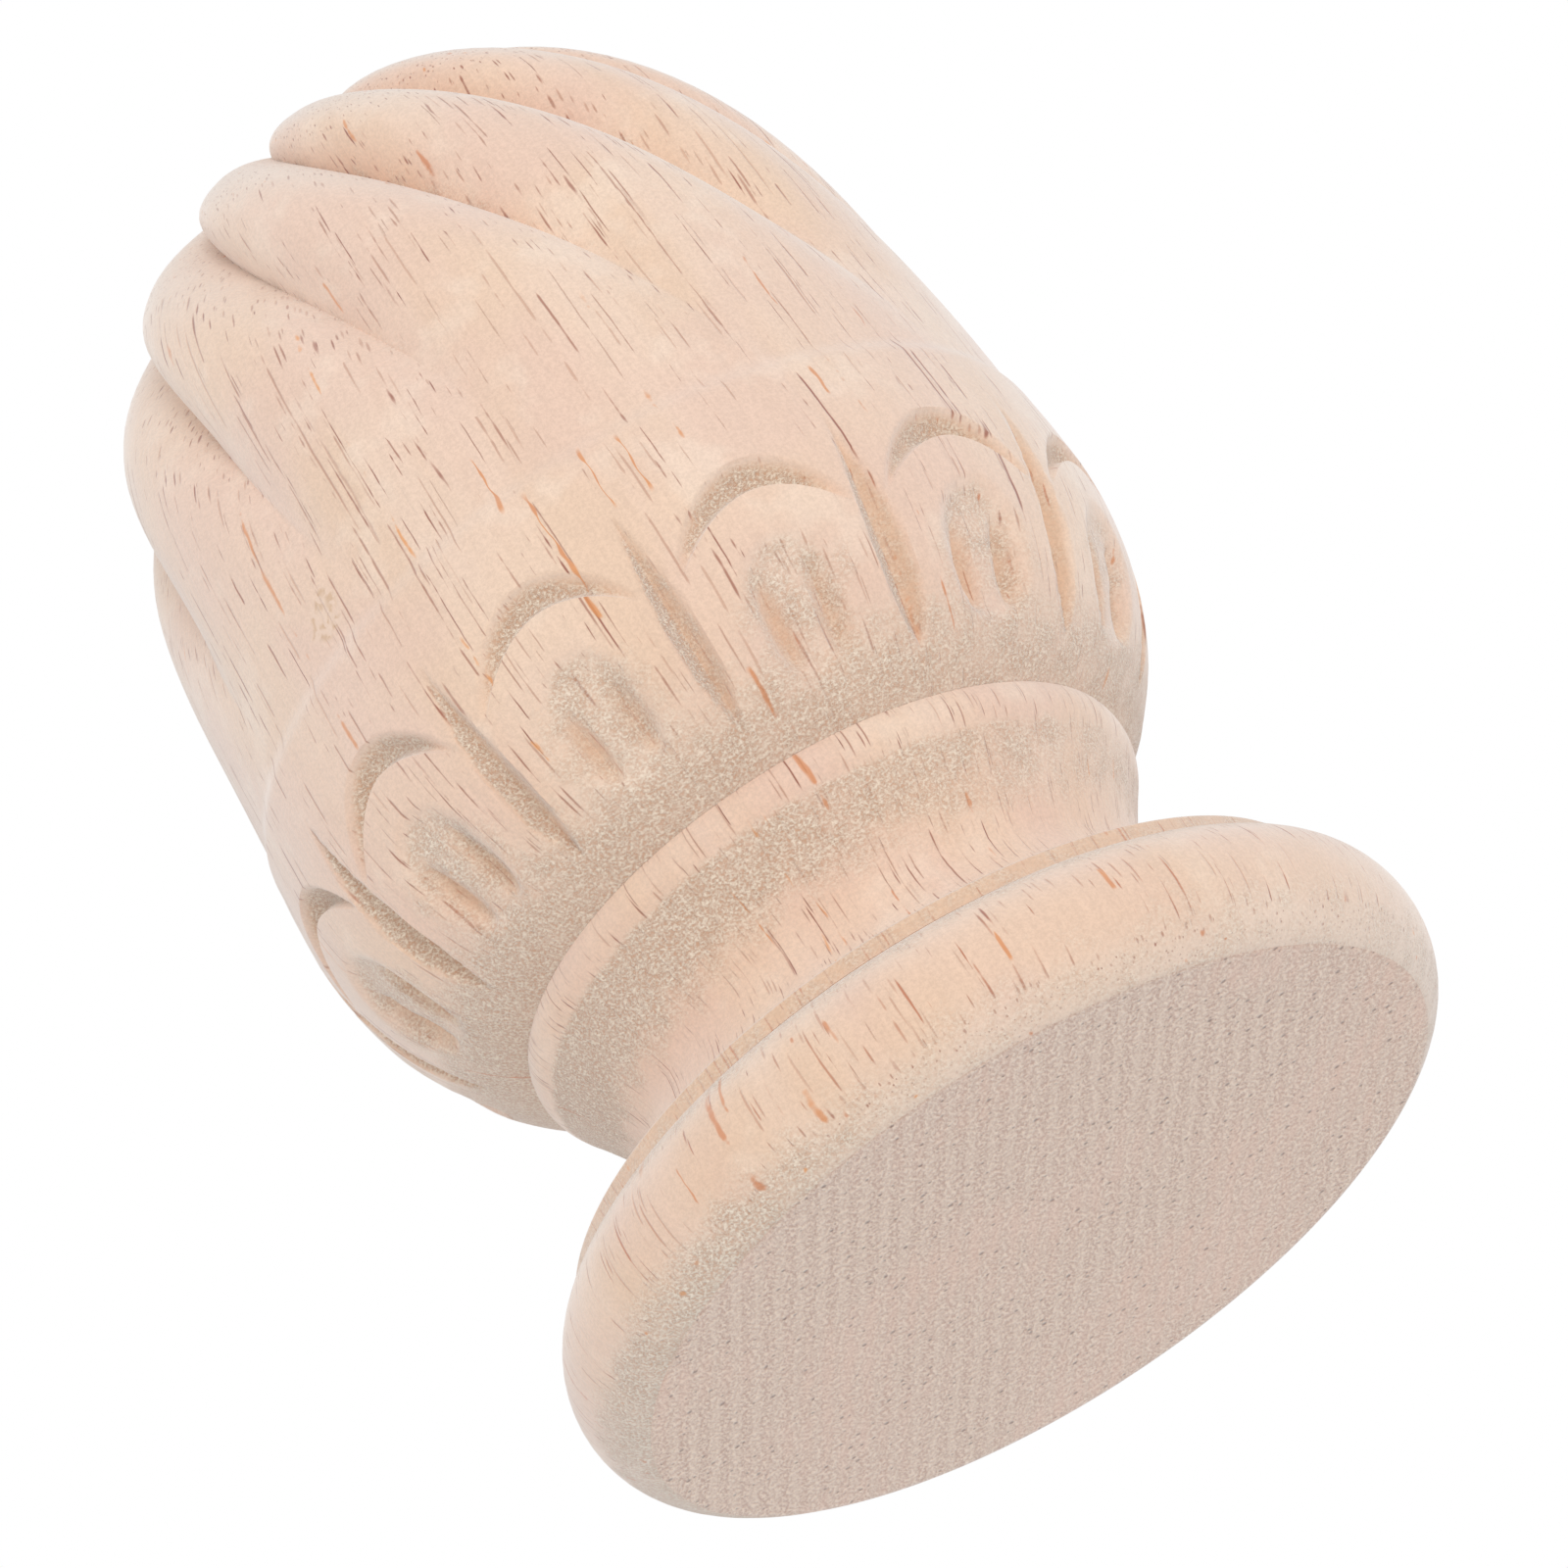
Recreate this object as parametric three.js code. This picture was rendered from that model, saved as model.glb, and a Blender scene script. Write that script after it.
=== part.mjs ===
import * as THREE from "three";

// A finial turned and carved from one block of pale wood, in millimetres, +Z up.
// It stands on its flat underside, with the origin at the centre of that face.
// From below: a rounded base ring, a fillet, a neck drawn in by a cove, a bead,
// a cup of upright petals, a plain belly and a head of twisted flutes.

// Turned sizes
const ringDiameter = 70;
const ringRoundHeight = 11.8;   // full height of the rounded side
const ringRoundDepth = 5;       // how far the rounded side stands out
const ringRoundTurn = 80;       // degrees from the widest place up to the fillet
const underCut = 0.45;          // what the flat underside takes off the round
const filletDiameter = 62;
const filletHeight = 1.45;
const filletEase = 0.15;        // height of its eased upper edge
const coveInset = 0.3;          // how far the cove starts inside the fillet
const neckDiameter = 41.5;      // narrowest place of the cove
const lowerCoveHeight = 7.8;    // fillet to the narrowest place
const upperCoveHeight = 6.9;    // narrowest place to the bead
const coveFlare = 1.26;         // exponent of the flare from the neck to the bead
const beadFootDiameter = 48.5;
const beadTopDiameter = 49.8;   // at its sharp upper edge
const beadHeight = 3.1;
const beadBulge = 0.44;         // how far its middle stands out
const bellyDiameter = 67.1;
const cupHeight = 18.2;         // bead to the widest place of the belly
const cupFootInset = 0.45;       // how far the cup starts inside the bead
const plainHeight = 6.3;        // widest place to the turned line
const plainRound = 0.1;         // how far the plain belly rounds in below the line
const plainRoundHeight = 3.5;
const lineDepth = 0.6;          // step in at the turned line
const lineHeight = 0.6;         // height the step takes
const lineLead = 0.1;           // how far below the line the step starts
const headHeight = 51.6;        // turned line to the tip

// Carved sizes
const petalCount = 12;
const petalHeight = 16;         // bead to the crown of a petal
const archDrop = 3.5;           // crown of a petal down to its shoulders
const archGrooveHeight = 2.7;   // groove cut over the crown
const archGrooveDepth = 1.6;
const sagStart = 12;            // distance below the crown where the rows start to bend
const sagFull = 2;              // distance below the crown where they follow the arch
const sagFade = 4.5;            // height above the groove where they run level again
const partingHeight = 18.6;     // bead to the point of the groove between two petals
const partingFoot = 2.2;        // bead to its lower end
const partingWidth = 2.9;
const partingDepth = 1.6;
const hollowMiddle = 7.7;       // bead to the middle of the hollow in a petal
const hollowHeight = 10.4;
const hollowWidth = 8.8;
const hollowDepth = 0.85;
const gougeLevel = 6.8;         // bead to the middle of the two gouge cuts
const gougeHeight = 7.2;
const gougeWidth = 2.3;
const gougeSpacing = 4.4;       // between the middles of the two gouge cuts
const gougeDepth = 1.15;

// Shares and exponents of the carved forms
const archCurve = 1.9;          // exponent of the arch from crown to shoulders
const archSpan = 0.4;           // offset of a shoulder, of the sector
const archReach = 0.42;         // offset where the groove runs out, of the sector
const archDeepest = 0.35;       // deepest line of the groove, of its height
const archScoop = 1.7;          // exponent of the groove's round
const partingWidest = 0.36;     // widest place of the parting, of its height
const partingFootRound = 3;     // exponent of its rounded foot
const partingPoint = 1.7;       // exponent of its pointed top
const partingScoop = 1.6;       // exponent of its section
const hollowSquare = 2.5;       // exponent of the hollow's rounded outline
const hollowRim = 0.8;          // share of the outline taken by its rim
const gougeTaper = 0.3;         // how much wider a gouge cut is at its foot
const fluteShare = 0.2;         // depth of a crease, of the radius there
const fluteRound = 2.5;         // exponent of the rounded back between two creases
const flutePlain = 0.02;        // head height that stays plain above the turned line
const fluteGrow = 0.85;         // head height by which a crease is at full depth
const twistEven = 29.5;         // degrees of lean spread evenly up the head
const twistCrown = 32.5;        // degrees of lean gathered towards the tip
const twistGather = 3;          // exponent of that gathering
const headTaper = 0.08;         // straight taper of the head, of its radius
const headRound = 4.05;         // exponent of the dome
const cupRound = 1.06;          // height of the cup's arc, of the cup's height
const firstParting = -86;       // degrees, direction of one groove between petals

// How finely the curves are divided
const ringStepsBelow = 3;
const ringStepsAbove = 3;
const coveSteps = 4;
const flareSteps = 3;
const beadSteps = 3;
const headSteps = 13;

// Places of the columns across a petal: groove, its edge, side, gouge cut, middle
const columnShares = [0, 0.075, 0.2, 0.36, 0.5, 0.64, 0.8, 0.925];
const columns = petalCount * columnShares.length;
const sector = 360 / petalCount;

// Heights of the turned forms, each stacked on the one below
const ringTop = ringRoundHeight - underCut;
const filletTop = ringTop + filletHeight;
const neckLevel = filletTop + lowerCoveHeight;
const beadBottom = neckLevel + upperCoveHeight;
const beadTop = beadBottom + beadHeight;
const crown = beadTop + petalHeight;
const bellyLevel = beadTop + cupHeight;
const lineLevel = bellyLevel + plainHeight;
const tipLevel = lineLevel + headHeight;

const ringRadius = ringDiameter / 2;
const filletRadius = filletDiameter / 2;
const neckRadius = neckDiameter / 2;
const beadRadius = beadTopDiameter / 2;
const beadFootRadius = beadFootDiameter / 2;
const bellyRadius = bellyDiameter / 2;

const smooth = (from, to, value) => THREE.MathUtils.smoothstep(value, from, to);
const clamp = THREE.MathUtils.clamp;
const degrees = THREE.MathUtils.degToRad;

// Direction of a column in degrees, counted from the first groove between two petals
function columnDirection(column) {
  const petal = Math.floor(column / columnShares.length);
  return firstParting + (petal + columnShares[column % columnShares.length]) * sector;
}

// Points of a turned profile, from the centre of the underside to the bead
function turnedProfile() {
  const profile = [[0, 0]];
  const half = ringRoundHeight / 2;
  const turnBelow = Math.asin(1 - underCut / half);
  for (let step = -ringStepsBelow; step <= ringStepsAbove; step++) {
    const turn = step < 0
      ? turnBelow * step / ringStepsBelow
      : degrees(ringRoundTurn) * step / ringStepsAbove;
    const level = half - underCut + half * Math.sin(turn);
    profile.push([ringRadius - ringRoundDepth * (1 - Math.cos(turn)), Math.max(level, 0)]);
  }
  profile.push([filletRadius, ringTop]);
  profile.push([filletRadius, filletTop - filletEase]);
  const coveRadius = filletRadius - coveInset;
  for (let step = 0; step <= coveSteps; step++) {
    const turn = degrees(90) * (1 - step / coveSteps);
    const radius = coveRadius - (coveRadius - neckRadius) * Math.cos(turn);
    profile.push([radius, neckLevel - lowerCoveHeight * Math.sin(turn)]);
  }
  for (let step = 1; step <= flareSteps; step++) {
    const share = step / flareSteps;
    const radius = neckRadius + (beadFootRadius - neckRadius) * Math.pow(share, coveFlare);
    profile.push([radius, neckLevel + upperCoveHeight * share]);
  }
  for (let step = 1; step <= beadSteps; step++) {
    const share = step / beadSteps;
    const straight = THREE.MathUtils.lerp(beadFootRadius, beadRadius, share);
    const radius = straight + 4 * beadBulge * share * (1 - share);
    profile.push([radius, beadBottom + beadHeight * share]);
  }
  return profile;
}

// Radius of the body before carving: a cup below the belly, a tapered dome above
function bodyRadius(level) {
  if (level < bellyLevel) {
    const bend = (part) => 1 - Math.sqrt(1 - part * part);
    const part = (bellyLevel - level) / (cupHeight * cupRound);
    const foot = bellyRadius - (beadRadius - cupFootInset);
    return bellyRadius - foot * bend(part) / bend(1 / cupRound);
  }
  const rise = Math.min((level - bellyLevel) / (tipLevel - bellyLevel), 1);
  const dome = Math.sqrt(Math.max(1 - Math.pow(rise, headRound), 0));
  const radius = bellyRadius * (1 - headTaper * rise) * dome;
  const stepIn = plainRound * smooth(lineLevel - plainRoundHeight, lineLevel, level)
    + lineDepth * smooth(lineLevel - lineLead, lineLevel - lineLead + lineHeight, level);
  return Math.max(radius - stepIn * dome, 0);
}

// How far the rows near a petal's crown sink towards its shoulders
function archSag(offset, row) {
  const share = Math.min(Math.abs(offset) / (sector * archSpan), 1);
  const below = smooth(crown - sagStart, crown - sagFull, row);
  const grooveTop = crown + archGrooveHeight;
  const above = 1 - smooth(grooveTop, grooveTop + sagFade, row);
  return archDrop * Math.pow(share, archCurve) * below * above;
}

// Depth of the groove scooped over a petal's crown, which runs out at its shoulders
function archCut(side, row) {
  const open = 1 - Math.min(side / archReach, 1) ** 2;
  const across = (row - crown) / archGrooveHeight;
  const width = Math.sqrt(open);
  if (across <= 0 || across >= width) return 0;
  const place = across / width;
  const span = place < archDeepest ? archDeepest : 1 - archDeepest;
  return archGrooveDepth * open * (1 - Math.pow(Math.abs(place - archDeepest) / span, archScoop));
}

// Depth of the groove between two petals, rounded at the foot and pointed at the top
function partingCut(side, level) {
  const height = (level - beadTop - partingFoot) / (partingHeight - partingFoot);
  if (height <= 0 || height >= 1) return 0;
  const share = height < partingWidest
    ? 1 - Math.pow(1 - height / partingWidest, partingFootRound)
    : 1 - Math.pow((height - partingWidest) / (1 - partingWidest), partingPoint);
  const away = bellyRadius * degrees((0.5 - side) * sector);
  const across = Math.pow(away / (partingWidth / 2 * share), partingScoop);
  return partingDepth * share * Math.max(1 - across, 0);
}

// Depth of the hollow in a petal, with two gouge cuts beside a middle rib
function hollowCut(side, row, level) {
  const away = bellyRadius * degrees(side * sector);
  const across = away / (hollowWidth / 2);
  const along = Math.abs(row - beadTop - hollowMiddle) / (hollowHeight / 2);
  const inside = 1 - Math.pow(across, hollowSquare) - Math.pow(along, hollowSquare);
  const gougeAlong = (level - beadTop - gougeLevel) / (gougeHeight / 2);
  const gougeHalf = gougeWidth / 2 * (1 - gougeTaper * gougeAlong);
  const gougeAcross = (away - gougeSpacing / 2) / gougeHalf;
  const gouge = Math.max(1 - gougeAcross ** 2 - gougeAlong ** 2, 0);
  return hollowDepth * smooth(0, hollowRim, inside) + gougeDepth * gouge;
}

// Depth of the petal carving at an angle from the petal's middle
function petalCut(offset, row, level) {
  const side = Math.abs(offset) / sector;
  return Math.max(archCut(side, row), partingCut(side, level)) + hollowCut(side, row, level);
}

// Lean of the flutes in degrees at a level of the head
function fluteLean(level) {
  const share = clamp((level - lineLevel) / headHeight, 0, 1);
  return twistEven * share + twistCrown * Math.pow(share, twistGather);
}

// Depth of the creases between the twisted flutes
function fluteCut(offset, level, radius) {
  const share = (level - lineLevel) / headHeight;
  const grown = smooth(flutePlain, fluteGrow, share);
  const side = Math.abs(offset) / (sector / 2);
  return fluteShare * radius * grown * Math.pow(side, fluteRound);
}

// Rows of the carved body, from the bead to the tip
function bodyRows() {
  const rows = [];
  const addRows = (from, to, count) => {
    for (let step = 0; step < count; step++) rows.push(THREE.MathUtils.lerp(from, to, step / count));
  };
  const gougeBottom = beadTop + gougeLevel - gougeHeight / 2;
  const gougeTop = gougeBottom + gougeHeight;
  const hollowTop = beadTop + hollowMiddle + hollowHeight / 2;
  const grooveFloor = crown + archGrooveHeight * archDeepest;
  const grooveTop = crown + archGrooveHeight;
  const lineTop = lineLevel + lineHeight;
  addRows(beadTop, gougeBottom, 2);
  addRows(gougeBottom, gougeTop, 4);
  addRows(gougeTop, hollowTop, 2);
  addRows(hollowTop, crown, 1);
  addRows(crown, grooveFloor, 1);
  addRows(grooveFloor, grooveTop, 2);
  addRows(grooveTop, lineLevel, 2);
  addRows(lineLevel, lineTop, 1);
  for (let step = 0; step < headSteps; step++) {
    const share = Math.sin(degrees(90) * step / headSteps);
    rows.push(THREE.MathUtils.lerp(lineTop, tipLevel, share));
  }
  rows.push(tipLevel);
  return rows;
}

// Place of a body vertex: its radius, direction in degrees and level
function bodyPoint(column, row) {
  const offset = (columnShares[column % columnShares.length] - 0.5) * sector;
  const level = row - archSag(offset, row);
  const envelope = bodyRadius(level);
  const cut = level < lineLevel ? petalCut(offset, row, level) : fluteCut(offset, level, envelope);
  return [Math.max(envelope - cut, 0), columnDirection(column) - fluteLean(level), level];
}

// A plain lathe turning whose body vertices are then moved to the carved surface
function finialGeometry() {
  const turned = turnedProfile();
  const rows = bodyRows();
  const outline = turned.concat(rows.map((row) => [bodyRadius(row), row]));
  const points = outline.map(([radius, level]) => new THREE.Vector2(radius, level));
  const geometry = new THREE.LatheGeometry(points, columns);
  const position = geometry.attributes.position;
  for (let index = 0; index < position.count; index++) {
    const column = Math.floor(index / points.length) % columns;
    const place = index % points.length;
    let [radius, level] = outline[place];
    let direction = columnDirection(column);
    if (place >= turned.length) {
      [radius, direction, level] = bodyPoint(column, rows[place - turned.length]);
    }
    const turn = degrees(direction);
    position.setXYZ(index, radius * Math.cos(turn), radius * Math.sin(turn), level);
  }
  geometry.deleteAttribute("normal");
  geometry.deleteAttribute("uv");
  geometry.computeVertexNormals();
  return geometry;
}

const paleWood = new THREE.MeshStandardMaterial({ color: 0xe3c5ad, roughness: 0.72, metalness: 0 });

const finial = new THREE.Mesh(finialGeometry(), paleWood);
finial.name = "finial";

const group = new THREE.Group();
group.add(finial);

export default group;
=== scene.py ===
import math
from types import SimpleNamespace

import bpy
import numpy as np
from mathutils import Matrix, Vector


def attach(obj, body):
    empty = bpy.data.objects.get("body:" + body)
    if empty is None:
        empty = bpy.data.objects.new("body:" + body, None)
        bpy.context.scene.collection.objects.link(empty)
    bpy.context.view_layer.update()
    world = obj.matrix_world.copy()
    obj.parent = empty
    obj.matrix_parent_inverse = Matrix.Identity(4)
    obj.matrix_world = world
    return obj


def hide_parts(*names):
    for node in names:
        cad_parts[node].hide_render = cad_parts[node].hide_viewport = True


# A turned and carved finial in unfinished pale wood, seen from below on white.
# The shape is worked out in millimetres and degrees, and made in metres.

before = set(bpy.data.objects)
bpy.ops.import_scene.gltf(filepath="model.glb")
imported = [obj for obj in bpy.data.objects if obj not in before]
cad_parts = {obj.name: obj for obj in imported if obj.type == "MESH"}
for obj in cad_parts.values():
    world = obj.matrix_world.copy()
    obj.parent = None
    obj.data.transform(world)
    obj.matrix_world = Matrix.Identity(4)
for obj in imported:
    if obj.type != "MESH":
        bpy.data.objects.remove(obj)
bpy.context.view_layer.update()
mm = 0.001


# The finial's own sizes in millimetres: the solid's, but for the cup's foot and the
# turned line, which are softer here
finialSizes = {
    "ringDiameter": 70.0,
    "ringRoundHeight": 11.8,
    "ringRoundDepth": 5.0,
    "ringRoundTurn": 80.0,    # degrees
    "underCut": 0.45,
    "filletDiameter": 62.0,
    "filletHeight": 1.45,
    "filletEase": 0.15,
    "coveInset": 0.3,
    "neckDiameter": 41.5,
    "lowerCoveHeight": 7.8,
    "upperCoveHeight": 6.9,
    "coveFlare": 1.26,        # exponent
    "beadFootDiameter": 48.5,
    "beadTopDiameter": 49.8,
    "beadHeight": 3.1,
    "beadBulge": 0.44,
    "bellyDiameter": 67.1,
    "cupHeight": 18.2,
    "cupFootInset": 0.02,
    "cupRound": 1.06,         # height of the cup's arc, of the cup's height
    "plainHeight": 6.3,
    "plainRound": 0.1,
    "plainRoundHeight": 3.5,
    "lineDepth": 0.5,
    "lineHeight": 2.0,
    "lineLead": 0.1,
    "headHeight": 51.6,
    "headTaper": 0.08,        # of the head's radius
    "headRound": 4.05,        # exponent of the dome
    "petalCount": 12,
    "petalHeight": 16.0,
    "archDrop": 3.5,
    "archGrooveHeight": 2.7,
    "archGrooveDepth": 1.6,
    "archCurve": 1.9,         # exponent
    "archSpan": 0.4,          # of the sector
    "archReach": 0.42,        # of the sector
    "archDeepest": 0.35,      # of the groove's height
    "archScoop": 1.7,         # exponent
    "sagStart": 12.0,
    "sagFull": 2.0,
    "sagFade": 4.5,
    "partingHeight": 18.6,
    "partingFoot": 2.2,
    "partingWidth": 2.9,
    "partingDepth": 1.6,
    "partingWidest": 0.36,    # of the parting's height
    "partingFootRound": 3.0,  # exponents
    "partingPoint": 1.7,
    "partingScoop": 1.6,
    "hollowMiddle": 7.7,
    "hollowHeight": 10.4,
    "hollowWidth": 8.8,
    "hollowDepth": 0.85,
    "hollowSquare": 2.5,      # exponent
    "hollowRim": 0.8,
    "gougeLevel": 6.8,
    "gougeHeight": 7.2,
    "gougeWidth": 2.3,
    "gougeSpacing": 4.4,
    "gougeDepth": 1.15,
    "gougeTaper": 0.3,
    "fluteShare": 0.2,        # depth of a crease, of the radius there
    "fluteRound": 2.5,        # exponent
    "flutePlain": 0.02,
    "fluteGrow": 0.85,
    "twistEven": 29.5,        # degrees
    "twistCrown": 32.5,       # degrees
    "twistGather": 3.0,       # exponent
    "firstParting": -86.0,    # degrees
}

# How the hand of the carver shows, in millimetres, and how fine the mesh is
carvingHand = {
    "seed": 11,
    "crownVaries": 0.3,
    "crownAside": 0.5,        # how far the crowns sit to one side of the petals
    "asideVaries": 0.5,
    "grooveVaries": 0.2,      # of the depth over the crown
    "gougeVaries": 0.8,
    "hollowVaries": 0.12,
    "partingVaries": 0.35,
    "waver": 0.05,            # slow unevenness of the carved faces
    "footFollow": 0.8,        # how far the grain follows the form, of its slope
    "bodyFollow": 0.9,
    "cutFollow": 0.35,        # how much of a cut's depth shows in the grain
    "wavesCrossed": 7,
    "wavesAround": (5, 23),   # waves in a full turn, least and most
    "wavesUp": (0.15, 0.7),   # radians for each millimetre of height
    "wavePhase": 6.28,
    "tipCalm": 12.0,          # height below the tip where the unevenness dies away
    "waverIn": 4.0,           # height above the bead where it is full
    "riseIn": 6.0,            # above the bead, where a crown's own height starts to show
    "riseOut": 2.5,           # above the crown, where that dies away again
    "riseEnd": 1.0,           # below the turned line, where none is left
    "footGrainIn": 2.5,       # above the underside, where the grain follows in full
    "tipGrainOut": 14.0,      # below the tip, where it starts to follow less
    "tipGrainLess": 0.7,
    "gougeNarrowest": 0.1,    # of a gouge cut's width
    "grooveMargin": 0.2,      # how far rows reach past a groove and below the line
    "lineMargin": 0.05,
    "columnsPerPetal": 44,
    "columnGather": 0.06,     # how far columns crowd towards the grooves
    "underRows": (0.25, 0.6, 0.9, 0.985),  # shares of the flat underside's radius
    "creaseOut": 0.1,         # the rows beside the fillet's two edges
    "creaseDown": 0.03,
    "creaseUp": 0.1,
    "easeDown": 0.15,
    "easeIn": 0.08,
    "ringRows": 22,
    "coveRows": 13,
    "flareRows": 10,
    "beadRows": 9,
    "petalRows": 52,
    "archRows": 14,
    "bandRows": 8,
    "lineRows": 5,
    "headRows": 42,
}

finial = SimpleNamespace(**finialSizes)
hand = SimpleNamespace(**carvingHand)
sector = 360 / finial.petalCount
ringTop = finial.ringRoundHeight - finial.underCut
filletTop = ringTop + finial.filletHeight
neckLevel = filletTop + finial.lowerCoveHeight
beadBottom = neckLevel + finial.upperCoveHeight
beadTop = beadBottom + finial.beadHeight
crownLevel = beadTop + finial.petalHeight
bellyLevel = beadTop + finial.cupHeight
lineLevel = bellyLevel + finial.plainHeight
tipLevel = lineLevel + finial.headHeight
bellyRadius = finial.bellyDiameter / 2
ringRadius = finial.ringDiameter / 2
beadRadius = finial.beadTopDiameter / 2


def smooth(start, end, value):
    share = np.clip((value - start) / (end - start), 0, 1)
    return share * share * (3 - 2 * share)


# Points of the turned foot, from the centre of the underside to the bead
def turnedProfile():
    filletRadius = finial.filletDiameter / 2
    neckRadius = finial.neckDiameter / 2
    beadFoot = finial.beadFootDiameter / 2
    half = finial.ringRoundHeight / 2
    start = -math.asin(1 - finial.underCut / half)
    flatRadius = ringRadius - finial.ringRoundDepth * (1 - math.cos(start))
    points = [(share * flatRadius, 0) for share in hand.underRows]
    for turn in np.linspace(start, math.radians(finial.ringRoundTurn), hand.ringRows):
        level = half - finial.underCut + half * math.sin(turn)
        points.append((ringRadius - finial.ringRoundDepth * (1 - math.cos(turn)), max(level, 0)))
    points.append((filletRadius + hand.creaseOut, ringTop - hand.creaseDown))
    points.append((filletRadius, ringTop + hand.creaseUp))
    ease = filletTop - finial.filletEase
    points.append((filletRadius, ease - hand.easeDown))
    points.append((filletRadius - hand.easeIn, ease))
    coveRadius = filletRadius - finial.coveInset
    for turn in np.linspace(math.pi / 2, 0, hand.coveRows):
        radius = coveRadius - (coveRadius - neckRadius) * math.cos(turn)
        points.append((radius, neckLevel - finial.lowerCoveHeight * math.sin(turn)))
    for share in np.linspace(0, 1, hand.flareRows)[1:]:
        radius = neckRadius + (beadFoot - neckRadius) * share ** finial.coveFlare
        points.append((radius, neckLevel + finial.upperCoveHeight * share))
    for share in np.linspace(0, 1, hand.beadRows)[1:]:
        radius = beadFoot + (beadRadius - beadFoot) * share + 4 * finial.beadBulge * share * (1 - share)
        points.append((radius, beadBottom + finial.beadHeight * share))
    return np.array(points)


# Radius of the body before carving: a cup below the belly, a tapered dome above
def bodyRadius(level):
    part = np.clip((bellyLevel - level) / (finial.cupHeight * finial.cupRound), 0, 1)
    foot = bellyRadius - (beadRadius - finial.cupFootInset)
    footBend = 1 - math.sqrt(1 - 1 / finial.cupRound ** 2)
    cup = bellyRadius - foot * (1 - np.sqrt(1 - part * part)) / footBend
    rise = np.clip((level - bellyLevel) / (tipLevel - bellyLevel), 0, 1)
    dome = np.sqrt(1 - rise ** finial.headRound)
    lineStart = lineLevel - finial.lineLead
    stepIn = finial.plainRound * smooth(lineLevel - finial.plainRoundHeight, lineLevel, level)
    stepIn = stepIn + finial.lineDepth * smooth(lineStart, lineStart + finial.lineHeight, level)
    head = bellyRadius * (1 - finial.headTaper * rise) * dome - stepIn * dome
    return np.where(level < bellyLevel, cup, np.maximum(head, 0))


# How far the rows near a petal's crown sink towards its shoulders
def archSag(offset, row):
    share = np.minimum(np.abs(offset) / (sector * finial.archSpan), 1)
    below = smooth(crownLevel - finial.sagStart, crownLevel - finial.sagFull, row)
    grooveTop = crownLevel + finial.archGrooveHeight
    above = 1 - smooth(grooveTop, grooveTop + finial.sagFade, row)
    return finial.archDrop * share ** finial.archCurve * below * above


# Depth of the groove scooped over a petal's crown, which runs out at its shoulders
def archCut(side, row):
    opened = 1 - np.minimum(side / finial.archReach, 1) ** 2
    width = np.sqrt(opened) + 1e-6
    place = np.clip((row - crownLevel) / finial.archGrooveHeight / width, 0, 1)
    span = np.where(place < finial.archDeepest, finial.archDeepest, 1 - finial.archDeepest)
    away = np.abs(place - finial.archDeepest) / span
    return finial.archGrooveDepth * opened * (1 - away ** finial.archScoop)


# Depth of the groove between two petals, rounded at the foot and pointed at the top
def partingCut(side, level, widen):
    height = (level - beadTop - finial.partingFoot) / (finial.partingHeight - finial.partingFoot)
    height = np.clip(height, 0, 1)
    widest = finial.partingWidest
    footShare = 1 - np.clip(1 - height / widest, 0, 1) ** finial.partingFootRound
    topShare = 1 - np.clip((height - widest) / (1 - widest), 0, 1) ** finial.partingPoint
    share = np.minimum(footShare, topShare)
    away = bellyRadius * np.radians((0.5 - side) * sector)
    halfWidth = (finial.partingWidth + widen) / 2 * share + 1e-6
    return finial.partingDepth * share * np.maximum(1 - (away / halfWidth) ** finial.partingScoop, 0)


# Depth of the hollow in a petal and of its two gouge cuts
def hollowCut(side, row, level, longer, deeper):
    away = bellyRadius * np.radians(side * sector)
    across = away / (finial.hollowWidth / 2)
    along = np.abs(row - beadTop - finial.hollowMiddle) / (finial.hollowHeight / 2)
    inside = 1 - across ** finial.hollowSquare - along ** finial.hollowSquare
    hollow = smooth(0, finial.hollowRim, inside)
    gougeAlong = (level - beadTop - finial.gougeLevel) / ((finial.gougeHeight + longer) / 2)
    gougeHalf = finial.gougeWidth / 2 * np.maximum(1 - finial.gougeTaper * gougeAlong, hand.gougeNarrowest)
    gougeAcross = (away - finial.gougeSpacing / 2) / gougeHalf
    gouge = np.maximum(1 - gougeAcross ** 2 - gougeAlong ** 2, 0)
    return (finial.hollowDepth + deeper) * hollow + finial.gougeDepth * gouge, hollow, gouge


# Depth of the creases between the twisted flutes
def fluteCut(side, level, radius):
    share = (level - lineLevel) / finial.headHeight
    grown = smooth(finial.flutePlain, finial.fluteGrow, share)
    return finial.fluteShare * radius * grown * (side * 2) ** finial.fluteRound


# Places of the rows up the carved body, close together where the carving is crisp
def bodyRows():
    grooveTop = crownLevel + finial.archGrooveHeight + hand.grooveMargin
    lineStart = lineLevel - finial.lineLead - hand.lineMargin
    lineTop = lineLevel + finial.lineHeight
    rows = [np.linspace(beadTop, crownLevel, hand.petalRows, endpoint=False)]
    rows.append(np.linspace(crownLevel, grooveTop, hand.archRows, endpoint=False))
    rows.append(np.linspace(grooveTop, lineStart, hand.bandRows, endpoint=False))
    rows.append(np.linspace(lineStart, lineTop, hand.lineRows, endpoint=False))
    turn = np.linspace(0, math.pi / 2, hand.headRows, endpoint=False)
    rows.append(lineTop + (tipLevel - lineTop) * np.sin(turn))
    return np.concatenate(rows)


# Shares of the columns across a petal, closest at the groove on either side of it
def columnShares():
    even = np.arange(hand.columnsPerPetal) / hand.columnsPerPetal
    return even - hand.columnGather * np.sin(2 * math.pi * even)


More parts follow.
